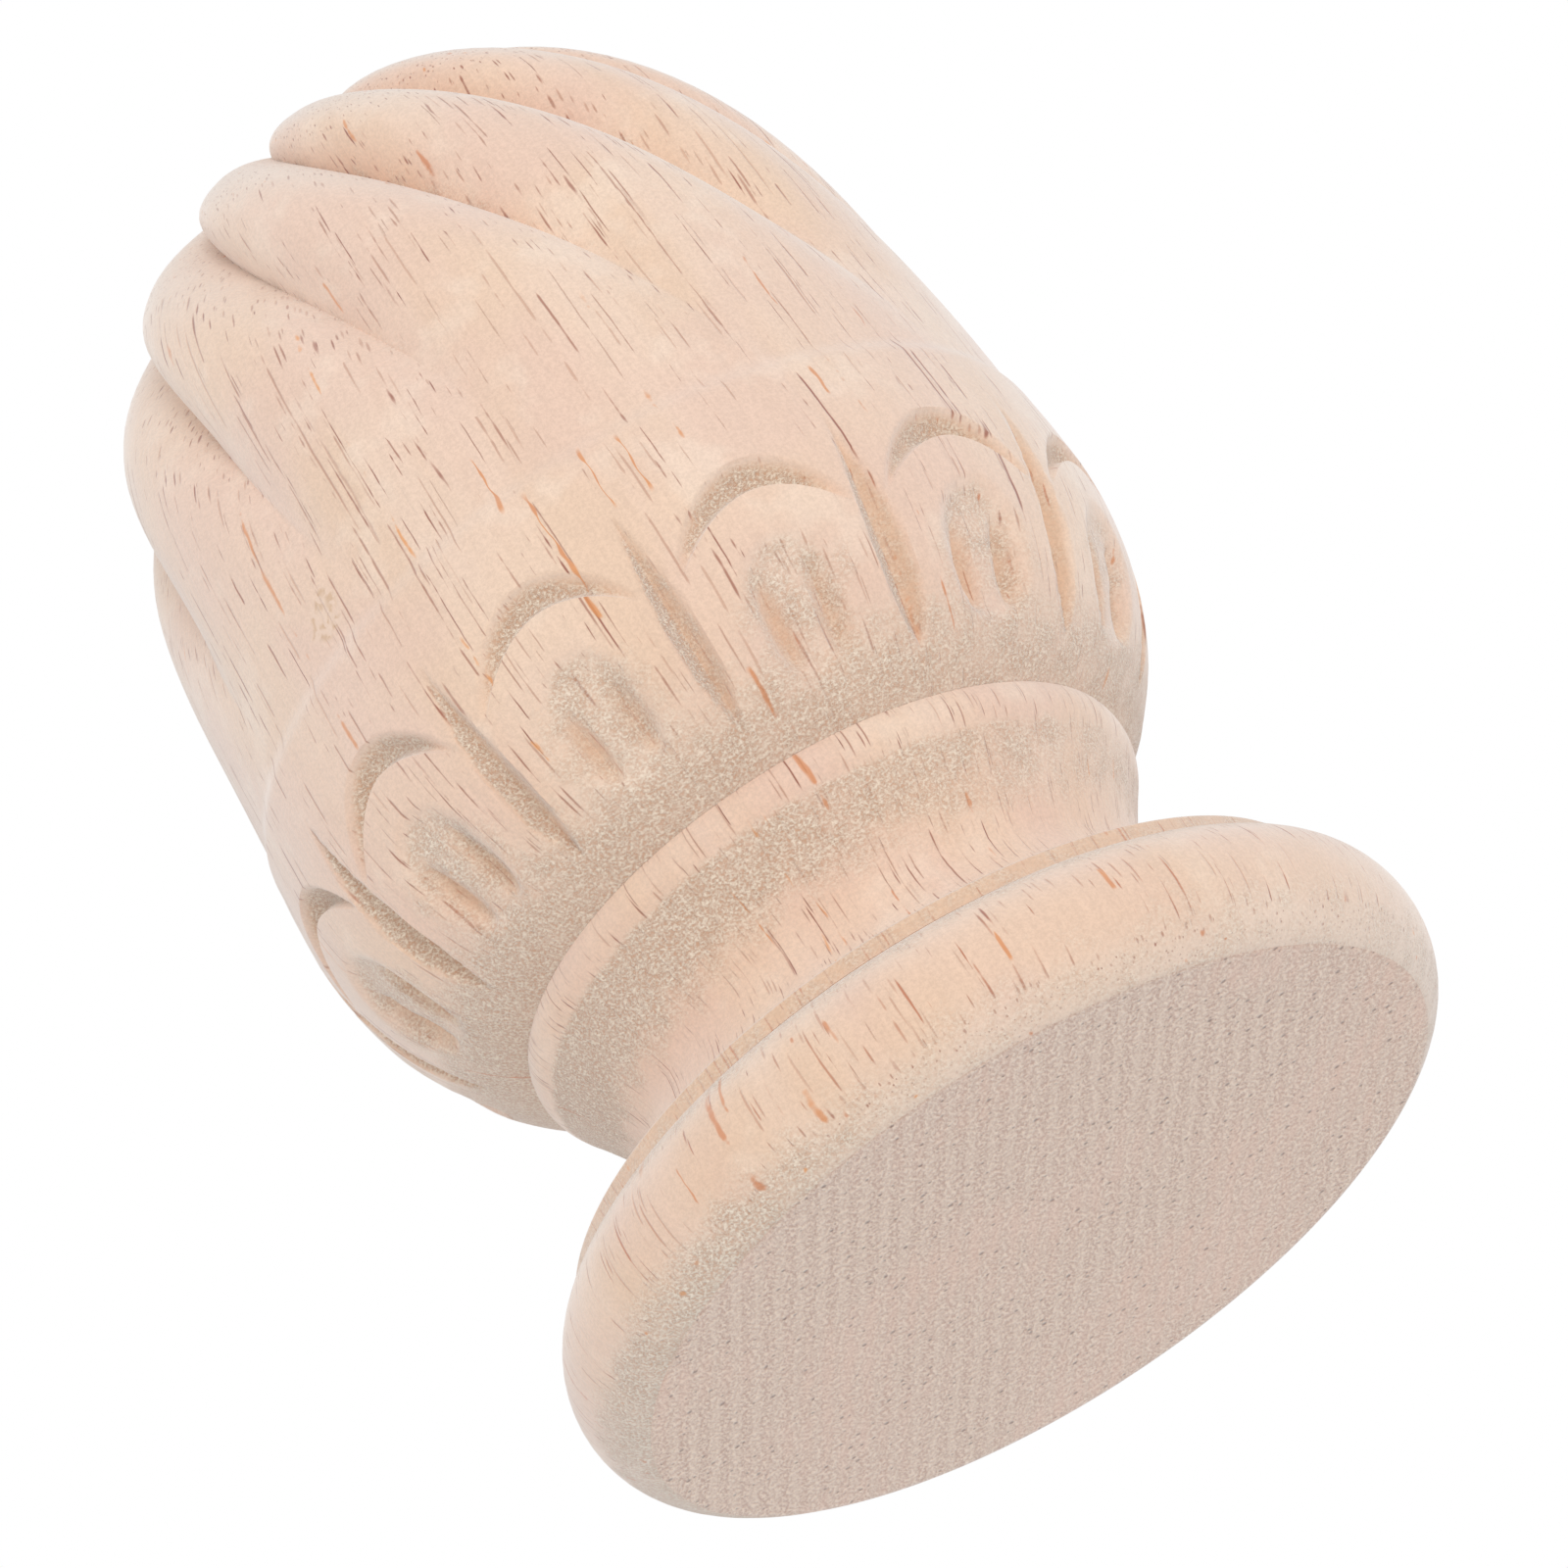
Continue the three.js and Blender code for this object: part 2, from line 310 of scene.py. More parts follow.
# A slow unevenness from a few crossed waves, the same every run
def waver(direction, level, dice):
    total = 0
    for _ in range(hand.wavesCrossed):
        around = dice.integers(*hand.wavesAround)
        upward = dice.uniform(*hand.wavesUp)
        phase = dice.uniform(0, hand.wavePhase)
        total = total + np.sin(np.radians(direction) * around + level * upward + phase)
    return total / hand.wavesCrossed


# The highest of several fields at each place
def highest(fields):
    top = 0
    for field in fields:
        top = np.maximum(top, field)
    return top


# How far the surface is turned away from upright: 0 on a wall, 1 on end grain
def steepness(points):
    around = np.roll(points, -1, 1) - np.roll(points, 1, 1)
    upward = np.gradient(points, axis=0)
    normal = np.cross(around, upward)
    return np.abs(normal[..., 2]) / np.maximum(np.linalg.norm(normal, axis=2), 1e-9)


# Where the cutter tore the fibres, and where a tan is laid over: the wood's warmer tone, and painted
# shade in the cuts' floors and on the ring's shoulder. Heights are in millimetres, and a pair of them
# is where a mark fades in or out; strengths run from 0 to 1.
grainMarks = {
    "roughDirection": -165.0,  # degrees, the side with the most torn grain
    "roughMean": 0.62,  # of full roughness, which only that side has
    "filletIn": (-0.4, 0.1),  # from the ring's top
    "filletOut": (-0.1, 0.6),  # from the fillet's top
    "filletTorn": 0.35,
    "neckIn": (-1.5, -2.0),  # from the neck, and from the bead's foot
    "neckOut": (-0.2, 0.8),  # from the bead's foot
    "neckTorn": 0.25,  # the least, roughness adds the rest
    "ringClear": 0.8,  # height where the ring's torn edge starts to thin
    "ringReach": 5.0,  # height where it ends at full roughness, else higher
    "ringRough": (0.7, 0.95),  # roughness over which it strengthens
    "ringTorn": 0.4,
    "ringTornMore": 0.35,
    # The ring's shoulder: torn crumb and tan, made stronger as painted shade against the sheen's white
    "shoulderIn": (8.0, 10.5),
    "shoulderFade": 0.6,
    "shoulderTorn": 0.55,
    "ringMiddleIn": (1.5, 4.5),
    "ringMiddleOut": (6.5, 9.5),
    "shoulderWarmIn": (9.0, 10.6),
    "shoulderWarmFade": 0.2,
    "ringMiddleWarm": 0.3,
    "shoulderWarm": 0.6,
    "hollowIn": (1.5, 6.0),  # from the bead's top
    "hollowEdge": 1.6,  # how crisply the hollow's edge shows
    "hollowTorn": 0.65,
    "gougeClean": 0.3,  # how much cleaner a gouge cut is on the shaded side
    "petalEdge": (0.24, 0.44),  # offset from the petal's middle, of the sector
    "petalOut": (9.0, 14.0),  # from the bead's top
    "petalTorn": 0.45,
    "archEdge": 1.6,
    "archTorn": 0.95,
    "partingIn": (0.05, 0.4),  # depth
    "partingTorn": 0.5,  # on the shaded side, full on the lit side
    "cupFootOut": (1.0, 8.5),  # from the bead's top
    "cupFootTorn": 0.85,
    "bodyTorn": 0.6,  # the least, roughness adds the rest
    "creasePower": 5,
    "creaseIn": (0.15, 0.5),  # share of the head's height
    "creaseTorn": 0.4,
    # The tan of the cuts' floors: partly the wood's warmer tone, partly painted shade in the recesses
    "gougeEdge": 1.4,
    "gougeWarm": 0.8,
    "partingWarmIn": (0.1, 0.7),  # depth
    "partingWarm": 0.9,
    "archWarmIn": (0.2, 0.9),  # depth
    "archWarm": 0.95,
}
marks = SimpleNamespace(**grainMarks)


# 1 between two heights: fades in over the first pair and out over the second
def between(fadeIn, fadeOut, level):
    return smooth(*fadeIn, level) * (1 - smooth(*fadeOut, level))


# A pair of heights counted from another height
def fromHeight(base, pair):
    return base + pair[0], base + pair[1]


# Torn grain of the turned foot, and its tan: warmer wood on the fillet and the ring's middle,
# and painted shade on the ring's shoulder against the white sheen there
def footMarks(level, rough):
    filletIn = fromHeight(ringTop, marks.filletIn)
    fillet = between(filletIn, fromHeight(filletTop, marks.filletOut), level)
    neckIn = (neckLevel + marks.neckIn[0], beadBottom + marks.neckIn[1])
    neck = between(neckIn, fromHeight(beadBottom, marks.neckOut), level)
    neckTorn = (marks.neckTorn + (1 - marks.neckTorn) * rough) * neck
    ringReach = marks.ringReach * (2 - rough)
    ringStrength = marks.ringTorn + marks.ringTornMore * smooth(*marks.ringRough, rough)
    ringTorn = (1 - smooth(marks.ringClear, ringReach, level)) * ringStrength
    # The shoulder's torn crumb is partly painted shade against the white sheen there
    shoulderTorn = between(marks.shoulderIn, (ringTop - marks.shoulderFade, ringTop), level)
    torn = highest([marks.filletTorn * fillet, neckTorn, ringTorn, marks.shoulderTorn * shoulderTorn])

    ringMiddle = between(marks.ringMiddleIn, marks.ringMiddleOut, level)
    # Painted shade: the tan on the ring's shoulder darkens the sheen's white there
    shoulder = between(marks.shoulderWarmIn, (ringTop, ringTop + marks.shoulderWarmFade), level)
    warm = highest([fillet, marks.shoulderWarm * shoulder, marks.ringMiddleWarm * ringMiddle])
    return torn, warm


# Torn grain of the petals and the head, and the tan of the cuts' floors: partly warmer wood,
# partly painted shade in the recesses
def bodyMarks(side, lit, rows, level, cuts, rough):
    arch, parting, hollow, gouge = cuts
    onHead = level >= lineLevel
    climb = np.clip((level - lineLevel) / finial.headHeight, 0, 1)
    hollowTorn = marks.hollowTorn * np.clip(hollow * marks.hollowEdge, 0, 1)
    hollowTorn = hollowTorn * smooth(*fromHeight(beadTop, marks.hollowIn), rows)
    hollowTorn = hollowTorn - marks.gougeClean * gouge * (1 - lit)
    petalTorn = marks.petalTorn * (1 - smooth(*marks.petalEdge, side))
    petalTorn = petalTorn * (1 - smooth(*fromHeight(beadTop, marks.petalOut), rows))
    archTorn = marks.archTorn * np.clip(arch / finial.archGrooveDepth * marks.archEdge, 0, 1)
    partingTorn = marks.partingTorn + (1 - marks.partingTorn) * lit
    partingTorn = partingTorn * smooth(*marks.partingIn, parting)
    cupFootTorn = marks.cupFootTorn * (1 - smooth(*fromHeight(beadTop, marks.cupFootOut), level))
    torn = highest([hollowTorn, petalTorn, archTorn, partingTorn, cupFootTorn])
    torn = torn * (marks.bodyTorn + (1 - marks.bodyTorn) * rough) * (1 - onHead)
    crease = (side * 2) ** marks.creasePower * smooth(*marks.creaseIn, climb)
    torn = np.maximum(torn, marks.creaseTorn * np.where(onHead, crease, 0))

    # Painted shade in part: the floors of gouges, partings and arch grooves are laid over in tan
    gougeWarm = marks.gougeWarm * np.clip(gouge * marks.gougeEdge, 0, 1)
    partingWarm = marks.partingWarm * smooth(*marks.partingWarmIn, parting)
    archWarm = marks.archWarm * smooth(*marks.archWarmIn, arch)
    return torn, highest([gougeWarm, partingWarm, archWarm]) * (1 - onHead)


def carveFinial():
    dice = np.random.default_rng(hand.seed)
    shares = columnShares()
    petal = np.repeat(np.arange(finial.petalCount), len(shares))
    share = np.tile(shares, finial.petalCount)
    direction = (finial.firstParting + (petal + share) * sector)[None, :]
    offset = ((share - 0.5) * sector)[None, :]
    side = np.abs(offset) / sector
    lit = (offset > 0) * 1.0

    # Every petal is cut a little differently, and the grooves too
    def perPetal(amount):
        return dice.uniform(-1, 1, finial.petalCount)[petal][None, :] * amount

    crownShift = perPetal(hand.crownVaries)
    aside = np.degrees((hand.crownAside + perPetal(hand.asideVaries)) / bellyRadius)
    grooveDepth = 1 + perPetal(hand.grooveVaries)
    longer = perPetal(hand.gougeVaries)
    deeper = perPetal(hand.hollowVaries)
    groove = np.where(share < 0.5, petal, (petal + 1) % finial.petalCount)
    widen = dice.uniform(-1, 1, finial.petalCount)[groove][None, :] * hand.partingVaries

    # The arch over a petal leans to one side, its two ends stay where they are
    bend = aside * np.clip(1 - (side * 2) ** 2, 0, 1)
    archOffset = offset - bend
    rows = bodyRows()[:, None]
    riseOut = (crownLevel + hand.riseOut, lineLevel - hand.riseEnd)
    rise = crownShift * smooth(beadTop + hand.riseIn, crownLevel, rows) * (1 - smooth(*riseOut, rows))
    level = rows - archSag(archOffset, rows) + rise
    envelope = bodyRadius(level)
    arch = archCut(np.abs(archOffset) / sector, rows) * grooveDepth
    parting = partingCut(side, level, widen)
    hollow, hollowMask, gougeMask = hollowCut(side, rows, level, longer, deeper)
    flute = fluteCut(side, level, envelope)
    onHead = level >= lineLevel
    cut = np.where(onHead, flute, np.maximum(arch, parting) + hollow)
    climb = np.clip((level - lineLevel) / finial.headHeight, 0, 1)
    turned = direction - finial.twistEven * climb - finial.twistCrown * climb ** finial.twistGather
    uneven = hand.waver * waver(turned, level, dice) * smooth(beadTop, beadTop + hand.waverIn, level)
    cut = cut + (uneven + hand.waver) * (1 - smooth(tipLevel - hand.tipCalm, tipLevel, level))
    radius = np.maximum(envelope - cut, 0)
    bodyLevel = level

    foot = turnedProfile()
    footRadius = np.repeat(foot[:, :1], direction.size, axis=1)
    footLevel = np.repeat(foot[:, 1:], direction.size, axis=1)
    footTurn = np.repeat(direction, len(foot), axis=0)
    radius = np.vstack([footRadius, radius])
    level = np.vstack([footLevel, level])
    turned = np.vstack([footTurn, turned])
    angle = np.radians(turned)
    points = np.stack([radius * np.cos(angle), radius * np.sin(angle), level], axis=2)

    # Where each place lies in the block of wood. The vessels follow the form, so that
    # they show as streaks on the slopes too, and as dots at the tip and underside.
    follow = hand.footFollow * smooth(0, hand.footGrainIn, footLevel)
    footGrain = footRadius + follow * (ringRadius - footRadius)
    less = hand.tipGrainLess * smooth(tipLevel - hand.tipGrainOut, tipLevel, bodyLevel)
    follow = hand.bodyFollow * (1 - less)
    bodyGrain = envelope + follow * (bellyRadius - envelope) - hand.cutFollow * cut
    inWood = np.vstack([footGrain, bodyGrain])
    grain = np.stack([inWood * np.cos(angle), inWood * np.sin(angle), level], axis=2)

    rough = np.cos(np.radians(turned - marks.roughDirection))
    rough = marks.roughMean + (1 - marks.roughMean) * rough
    cuts = (arch, parting, hollowMask, gougeMask)
    footTorn, footTanAndShade = footMarks(footLevel, rough[:len(foot)])
    bodyTorn, bodyTanAndShade = bodyMarks(side, lit, rows, bodyLevel, cuts, rough[len(foot):])
    fields = {
        "torn": np.clip(np.vstack([footTorn, bodyTorn]), 0, 1),
        "warm": np.vstack([footTanAndShade, bodyTanAndShade]),
        "steep": steepness(points),
    }
    return points, grain, fields, len(foot)


# One closed skin: the first and last rows close to a single point each
def skinMesh(name, points, grain, fields):
    rowCount, columnCount, _ = points.shape
    places = points.reshape(-1, 3)
    below = (0, 0, 0)
    above = (0, 0, tipLevel)
    vertices = np.vstack([places, [below, above]]) * mm
    column = np.arange(columnCount)
    nextColumn = (column + 1) % columnCount
    faces = []
    for row in range(rowCount - 1):
        low = row * columnCount
        high = low + columnCount
        faces.append(np.stack([low + column, low + nextColumn, high + nextColumn, high + column], 1))
    quads = np.vstack(faces).tolist()
    bottom = len(places)
    last = (rowCount - 1) * columnCount
    fans = [[bottom, b, a] for a, b in zip(column.tolist(), nextColumn.tolist())]
    caps = [[bottom + 1, last + a, last + b] for a, b in zip(column.tolist(), nextColumn.tolist())]
    mesh = bpy.data.meshes.new(name)
    mesh.from_pydata(vertices.tolist(), [], quads + fans + caps)
    for label, field in fields.items():
        attribute = mesh.attributes.new(label, "FLOAT", "POINT")
        values = np.append(field.reshape(-1), [field[0].mean(), field[-1].mean()])
        attribute.data.foreach_set("value", values.astype(np.float32))
    attribute = mesh.attributes.new("grain", "FLOAT_VECTOR", "POINT")
    inWood = np.vstack([grain.reshape(-1, 3), [below, grain[-1].mean(0)]])
    attribute.data.foreach_set("vector", inWood.reshape(-1).astype(np.float32))
    mesh.shade_smooth()
    mesh.set_sharp_from_angle(angle=math.radians(50))
    return mesh


# Shader building
def srgb(red, green, blue):
    linear = []
    for part in (red, green, blue):
        part = part / 255
        linear.append(part / 12.92 if part <= 0.04045 else ((part + 0.055) / 1.055) ** 2.4)
    return (*linear, 1.0)


def feed(tree, source, socket):
    if isinstance(source, bpy.types.NodeSocket):
        tree.links.new(source, socket)
    else:
        socket.default_value = source


def calc(tree, operation, *values):
    node = tree.nodes.new("ShaderNodeMath")
    node.operation = operation
    for value, socket in zip(values, node.inputs):
        feed(tree, value, socket)
    return node.outputs[0]


def times(tree, first, second):
    return calc(tree, "MULTIPLY", first, second)


def scaleAdd(tree, value, scale, added):
    return calc(tree, "MULTIPLY_ADD", value, scale, added)


def move(tree, operation, *vectors):
    node = tree.nodes.new("ShaderNodeVectorMath")
    node.operation = operation
    for vector, socket in zip(vectors, node.inputs):
        feed(tree, vector, socket)
    return node.outputs[0]


# A soft step from start to end, which may run downwards
def fade(tree, value, start, end, low=0.0, high=1.0):
    node = tree.nodes.new("ShaderNodeMapRange")
    node.interpolation_type = "SMOOTHSTEP"
    for source, socket in zip((value, start, end, low, high), node.inputs):
        feed(tree, source, socket)
    return node.outputs[0]


def noise(tree, place, scale, detail=2.0, roughness=0.5):
    node = tree.nodes.new("ShaderNodeTexNoise")
    feed(tree, place, node.inputs["Vector"])
    feed(tree, scale, node.inputs["Scale"])
    node.inputs["Detail"].default_value = detail
    node.inputs["Roughness"].default_value = roughness
    return node.outputs


def mixColours(tree, share, first, second, kind="MIX"):
    node = tree.nodes.new("ShaderNodeMix")
    node.data_type = "RGBA"
    node.blend_type = kind
    feed(tree, share, node.inputs["Factor"])
    feed(tree, first, node.inputs[6])
    feed(tree, second, node.inputs[7])
    return node.outputs[2]


def startGroup(name, inputs, outputs):
    group = bpy.data.node_groups.new(name, "ShaderNodeTree")
    for label, kind, value in inputs:
        socket = group.interface.new_socket(label, in_out="INPUT", socket_type="NodeSocket" + kind)
        if value is not None:
            socket.default_value = value
    for label, kind in outputs:
        group.interface.new_socket(label, in_out="OUTPUT", socket_type="NodeSocket" + kind)
    given = group.nodes.new("NodeGroupInput").outputs
    result = group.nodes.new("NodeGroupOutput").inputs
    return group, given, result


def useGroup(tree, group, **values):
    node = tree.nodes.new("ShaderNodeGroup")
    node.node_tree = group
    for label, value in values.items():
        feed(tree, value, node.inputs[label])
    return node.outputs


# Lays the nodes out in rows so that none hides another
def spreadNodes(tree):
    for index, node in enumerate(tree.nodes):
        node.location = (index % 9 * 230, -(index // 9) * 320)


# Vessels of the wood: long wavering tubes up the grain, cut open where the surface meets
# them, so they show as streaks on a side, dashes on a slope and dots on end grain
def makePoreGroup():
    inputs = [
        ("Place", "Vector", None),
        ("Spacing", "Float", 0.5),
        ("Radius", "Float", 0.07),
        ("Wander", "Float", 1.0),
        ("Length", "Float", 5.0),
        ("Share", "Float", 0.6),
    ]
    outputs = [("Pore", "Float"), ("Tint", "Float")]
    group, given, result = startGroup("vessels", inputs, outputs)
    drift = noise(group, move(group, "MULTIPLY", given["Place"], (0.2, 0.2, 0.085)), 1.0, 4.0, 0.6)
    centred = move(group, "SUBTRACT", drift["Color"], (0.5, 0.5, 0.5))
    wander = group.nodes.new("ShaderNodeCombineXYZ")
    feed(group, given["Wander"], wander.inputs[0])
    feed(group, given["Wander"], wander.inputs[1])
    moved = move(group, "ADD", given["Place"], move(group, "MULTIPLY", centred, wander.outputs[0]))
    cells = group.nodes.new("ShaderNodeTexVoronoi")
    cells.voronoi_dimensions = "2D"
    feed(group, moved, cells.inputs["Vector"])
    feed(group, calc(group, "DIVIDE", 1.0, given["Spacing"]), cells.inputs["Scale"])
    away = times(group, cells.outputs["Distance"], given["Spacing"])
    dice = group.nodes.new("ShaderNodeSeparateColor")
    feed(group, cells.outputs["Color"], dice.inputs[0])
    apart = group.nodes.new("ShaderNodeSeparateXYZ")
    feed(group, given["Place"], apart.inputs[0])
    along = group.nodes.new("ShaderNodeCombineXYZ")
    feed(group, times(group, dice.outputs[0], 41.0), along.inputs[0])
    feed(group, times(group, dice.outputs[1], 57.0), along.inputs[1])
    feed(group, calc(group, "DIVIDE", apart.outputs[2], given["Length"]), along.inputs[2])
    lasting = fade(group, noise(group, along.outputs[0], 1.0, 3.0, 0.6)["Fac"], 0.42, 0.56)
    size = times(group, given["Radius"], scaleAdd(group, dice.outputs[0], 0.9, 0.5))
    size = times(group, size, scaleAdd(group, lasting, 0.9, 0.1))
    inside = fade(group, away, times(group, size, 1.3), times(group, size, 0.4))
    kept = calc(group, "LESS_THAN", dice.outputs[1], given["Share"])
    pore = times(group, times(group, inside, kept), lasting)
    feed(group, pore, result["Pore"])
    feed(group, dice.outputs[2], result["Tint"])
    spreadNodes(group)
    return group


# A single vessel filled with resin, at a direction round the axis and a middle height
def makeResinGroup():
    inputs = [
        ("Place", "Vector", None),
        ("Turn", "Float", 0.0),
        ("Level", "Float", 50.0),
        ("Reach", "Float", 4.0),
        ("Width", "Float", 0.2),
    ]
    group, given, result = startGroup("resin streak", inputs, [("Mask", "Float")])
    turned = group.nodes.new("ShaderNodeVectorRotate")
    turned.rotation_type = "Z_AXIS"
    feed(group, given["Place"], turned.inputs["Vector"])
    feed(group, times(group, given["Turn"], -1.0), turned.inputs["Angle"])
    apart = group.nodes.new("ShaderNodeSeparateXYZ")
    feed(group, turned.outputs[0], apart.inputs[0])
    level = calc(group, "SUBTRACT", apart.outputs[2], given["Level"])
    line = group.nodes.new("ShaderNodeCombineXYZ")
    feed(group, given["Turn"], line.inputs[0])
    feed(group, times(group, apart.outputs[2], 0.35), line.inputs[2])
    bend = noise(group, line.outputs[0], 1.0, 1.0)["Fac"]
    aside = scaleAdd(group, calc(group, "SUBTRACT", bend, 0.5), 0.8, apart.outputs[1])
    swell = noise(group, move(group, "ADD", line.outputs[0], (5.0, 2.0, 0.0)), 1.3, 1.0)["Fac"]
    half = times(group, given["Width"], fade(group, swell, 0.38, 0.62, 0.1, 0.5))
    aside = calc(group, "ABSOLUTE", aside)
    across = fade(group, aside, times(group, half, 1.4), times(group, half, 0.5))
    level = calc(group, "ABSOLUTE", level)
    ends = fade(group, level, given["Reach"], times(group, given["Reach"], 0.7))
    front = calc(group, "GREATER_THAN", apart.outputs[0], 0.0)
    feed(group, times(group, times(group, across, ends), front), result["Mask"])
    spreadNodes(group)
    return group


# A small knot: rings of darker grain round a middle
def makeKnotGroup():
    inputs = [
        ("Place", "Vector", None),
        ("Middle", "Vector", (0.0, 0.0, 0.0)),
        ("Size", "Float", 1.6),
    ]
    group, given, result = startGroup("knot", inputs, [("Mask", "Float"), ("Ring", "Float")])
    away = move(group, "SUBTRACT", given["Place"], given["Middle"])
    warp = move(group, "SUBTRACT", noise(group, given["Place"], 0.5, 2.0)["Color"], (0.5, 0.5, 0.5))
    away = move(group, "ADD", away, move(group, "MULTIPLY", warp, (3.0, 3.0, 3.0)))
    reach = group.nodes.new("ShaderNodeVectorMath")
    reach.operation = "LENGTH"
    feed(group, away, reach.inputs[0])
    share = calc(group, "DIVIDE", reach.outputs["Value"], given["Size"])
    feed(group, fade(group, share, 1.0, 0.55), result["Mask"])
    wave = calc(group, "SINE", times(group, share, 12.0))
    feed(group, scaleAdd(group, wave, 0.5, 0.5), result["Ring"])
    spreadNodes(group)
    return group


# Fine fibres up the grain, and the slow change of tone from one year's growth to the next
def makeFibreGroup():
    inputs = [("Place", "Vector", None), ("Fineness", "Float", 1.0)]
    outputs = [("Fibre", "Float"), ("Growth", "Float"), ("Patch", "Float")]
    group, given, result = startGroup("fibres", inputs, outputs)
    fine = move(group, "MULTIPLY", given["Place"], (2.6, 2.6, 0.22))
    fibre = noise(group, fine, given["Fineness"], 3.0, 0.65)["Fac"]
    broad = move(group, "MULTIPLY", given["Place"], (0.16, 0.1, 0.012))
    growth = noise(group, broad, 1.0, 3.0, 0.55)["Fac"]
    loose = move(group, "MULTIPLY", given["Place"], (0.07, 0.07, 0.05))
    patch = noise(group, loose, 1.0, 2.0, 0.5)["Fac"]
    feed(group, fade(group, fibre, 0.3, 0.7), result["Fibre"])
    feed(group, fade(group, growth, 0.35, 0.65), result["Growth"])
    feed(group, fade(group, patch, 0.38, 0.62), result["Patch"])
    spreadNodes(group)
    return group


# Torn fibres: a crumb of short raised ends with shade between them
def makeTornGroup():
    inputs = [
        ("Place", "Vector", None),
        ("Stretch", "Vector", (1.0, 1.0, 1.0)),
        ("Crumb", "Float", 0.2),
        ("Amount", "Float", 0.0),
        ("Patchiness", "Float", 0.5),
    ]
    outputs = [("Mask", "Float"), ("Speckle", "Float")]
    group, given, result = startGroup("torn fibres", inputs, outputs)
    place = move(group, "MULTIPLY", given["Place"], given["Stretch"])
    scale = calc(group, "DIVIDE", 0.5, given["Crumb"])
    crumb = noise(group, place, scale, 3.0, 0.7)["Fac"]
    patch = noise(group, given["Place"], 0.5, 3.0, 0.6)["Fac"]
    bent = times(group, calc(group, "SUBTRACT", patch, 0.5), given["Patchiness"])
    mask = fade(group, calc(group, "ADD", given["Amount"], bent), 0.1, 0.9)
    feed(group, mask, result["Mask"])
    feed(group, fade(group, crumb, 0.34, 0.66), result["Speckle"])
    spreadNodes(group)
    return group


# Rows of torn grain left by the saw on a cut end
def makeSawGroup():
    inputs = [
        ("Place", "Vector", None),
        ("Across", "Vector", (0.959, 0.284, 0.0)),
        ("Pitch", "Float", 1.67),
    ]
    outputs = [("Row", "Float")]
    group, given, result = startGroup("saw rows", inputs, outputs)
    node = group.nodes.new("ShaderNodeVectorMath")
    node.operation = "DOT_PRODUCT"
    feed(group, given["Place"], node.inputs[0])
    feed(group, given["Across"], node.inputs[1])
    bend = noise(group, given["Place"], 0.12, 2.0)["Fac"]
    across = calc(group, "ADD", node.outputs["Value"], times(group, bend, 0.9))
    turns = times(group, calc(group, "DIVIDE", across, given["Pitch"]), 2 * math.pi)
    feed(group, scaleAdd(group, calc(group, "SINE", turns), 0.5, 0.5), result["Row"])
    spreadNodes(group)
    return group


poreGroup = makePoreGroup()
resinGroup = makeResinGroup()
knotGroup = makeKnotGroup()
fibreGroup = makeFibreGroup()
tornGroup = makeTornGroup()
sawGroup = makeSawGroup()
print("shader groups made:", len(bpy.data.node_groups))

# Colours of the bare wood, some partly painted shade, and how deep its fine relief is in millimetres
woodLook = {
    "light": srgb(240, 210, 187),
    "warm": srgb(236, 203, 176),
    "pink": srgb(235, 200, 181),
    "glow": srgb(240, 208, 180),
    "wool": srgb(250, 228, 208),
    # tan: partly the wood's warmer tone, partly painted shade in the cuts and on the ring's shoulder
    "tan": srgb(226, 184, 148),
    "slant": srgb(236, 212, 193),
    "endGrain": srgb(226, 180, 155),
    # The deep tones of both torn crumbs are partly painted shade between their raised ends
    "tornPale": srgb(255, 242, 222),
    "tornDeep": srgb(208, 163, 131),
    "endPale": srgb(255, 229, 206),
    "endDeep": srgb(188, 142, 117),
    "poreFaint": srgb(206, 158, 130),
    "poreDeep": srgb(158, 88, 66),
    "poreDark": srgb(124, 78, 54),
    "resin": srgb(236, 156, 76),
    "resinDeep": srgb(206, 122, 76),
    "knotRing": srgb(206, 166, 122),
    "gloss": 0.5,
    "sheen": 0.85,               # the white haze of loose fibres at grazing angles
    "sheenSpread": 0.55,
    "roughness": 0.66,
    "tornRoughness": 0.2,        # added where the grain is torn
    "endRoughness": 0.85,
    "pinkShare": 0.6,            # strengths of the colours laid over the ground
    "glowShare": 0.4,
    "woolShare": 0.35,
    "slantShare": 0.7,
    "tanAndShadeShare": 0.7,
    "tornShare": 0.85,
    "fleckShare": 0.8,
    "resinShare": 0.85,
    "knotShare": 0.7,
    "dotShare": 0.85,
    "rowShare": 0.32,
    "endPinkShare": 0.4,
    "fibreShade": 0.05,
    "powderShade": 0.12,
    "poreRelief": 0.03,
    "tornRelief": 0.06,
    "endTornRelief": 0.05,
    "fibreRelief": 0.01,
    "powderRelief": 0.035,
}
wood = SimpleNamespace(**woodLook)

# The vessels: spacing, radius, wander and length in millimetres, and the share kept
finePores = {"Spacing": 0.42, "Wander": 0.62, "Length": 5.0}
widePores = {"Spacing": 1.5, "Wander": 1.3, "Length": 8.0}
poreSizes = {
    "share": 1.6,
    "radius": 0.085,
    "wideRadius": 1.35,          # of the fine radius
    "wideShare": 0.6,            # of the fine share
    "tintPower": 1.1,
    "faintest": 0.55,            # strength of the faintest fine vessel
    "sparsest": 0.45,            # share kept where they are fewest
}
resinFlecks = {"Spacing": 2.2, "Radius": 0.18, "Wander": 2.6, "Length": 3.0, "Share": 0.6}
endDots = {"Spacing": 1.05, "Radius": 0.165, "Wander": 0.3, "Length": 6.0, "Share": 0.5}
sideTear = {"Stretch": (1.0, 1.0, 1.3), "Crumb": 0.12, "Patchiness": 0.9}
